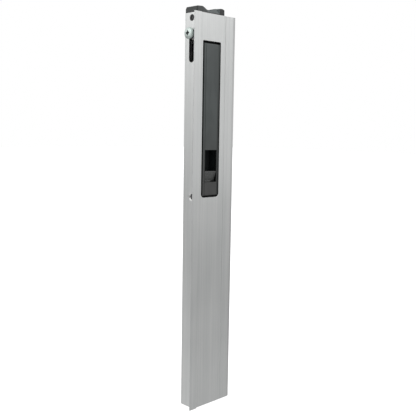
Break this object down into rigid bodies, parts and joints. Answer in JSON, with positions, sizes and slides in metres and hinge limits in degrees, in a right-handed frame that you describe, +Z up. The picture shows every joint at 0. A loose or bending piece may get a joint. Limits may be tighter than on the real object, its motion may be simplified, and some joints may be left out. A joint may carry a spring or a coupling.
{
  "type": "flush bolt",
  "caption": "Slide-operated flush bolt: T-section extruded aluminium housing with a window escutcheon, thumb slide, saddle end cap and slotted side adjusting screw.",
  "frame": {"origin": "on the bolt's centre line in plan, at the main front face, at the housing's plain-cut lower end", "axes": "+Z up the housing towards the bolt, +X towards the wide right flange, +Y from the front face into the door edge"},
  "size_m": [0.0447, 0.0156, 0.31],
  "materials": {
    "anodised_aluminium": "clear anodised, satin, fine lengthwise extrusion lines",
    "black_plastic": "fine moulded texture",
    "zinc_plated_steel": "bright zinc plated",
    "bright_steel": "turned",
    "white_acetal": "natural acetal",
    "bronze": "sintered bronze",
    "spring_steel": "tempered spring steel",
    "black_nylon": "moulded nylon"
  },
  "bodies": {
    "housing_assembly": {"housing": "anodised_aluminium", "end_cap": "black_plastic", "bolt_bushing": "bronze", "cap_rivet": "black_nylon", "cap_rivet_pin": "bright_steel", "escutcheon": "black_plastic", "rod_guide": "white_acetal", "rod_guide_screws": "zinc_plated_steel"},
    "bolt_slide": {"thumb_slide": "black_plastic", "slide_carriage": "black_plastic", "thumb_slide_screws": "zinc_plated_steel", "friction_spring": "spring_steel", "spring_rivet": "bright_steel", "bolt_rod": "bright_steel", "rod_lock_nut": "zinc_plated_steel", "bolt_tip": "bright_steel", "tip_pin": "spring_steel"},
    "adjuster": {"lock_washer": "spring_steel", "slide_nut": "zinc_plated_steel"},
    "adjuster_screw": {"adjusting_screw": "zinc_plated_steel"}
  },
  "joints": [
    {"name": "bolt_throw", "type": "slide", "parent": "housing_assembly", "child": "bolt_slide", "axis": [0, 0, 1], "range_m": [0, 0.0155]},
    {"name": "adjuster_travel", "type": "slide", "parent": "housing_assembly", "child": "adjuster", "axis": [0, 0, 1], "range_m": [-0.018, 0.0006]},
    {"name": "adjuster_screw_turn", "type": "hinge", "parent": "adjuster", "child": "adjuster_screw", "pos_m": [-0.0145, 0.0071, 0.2894], "axis": [-1, 0, 0], "continuous": true}
  ]
}
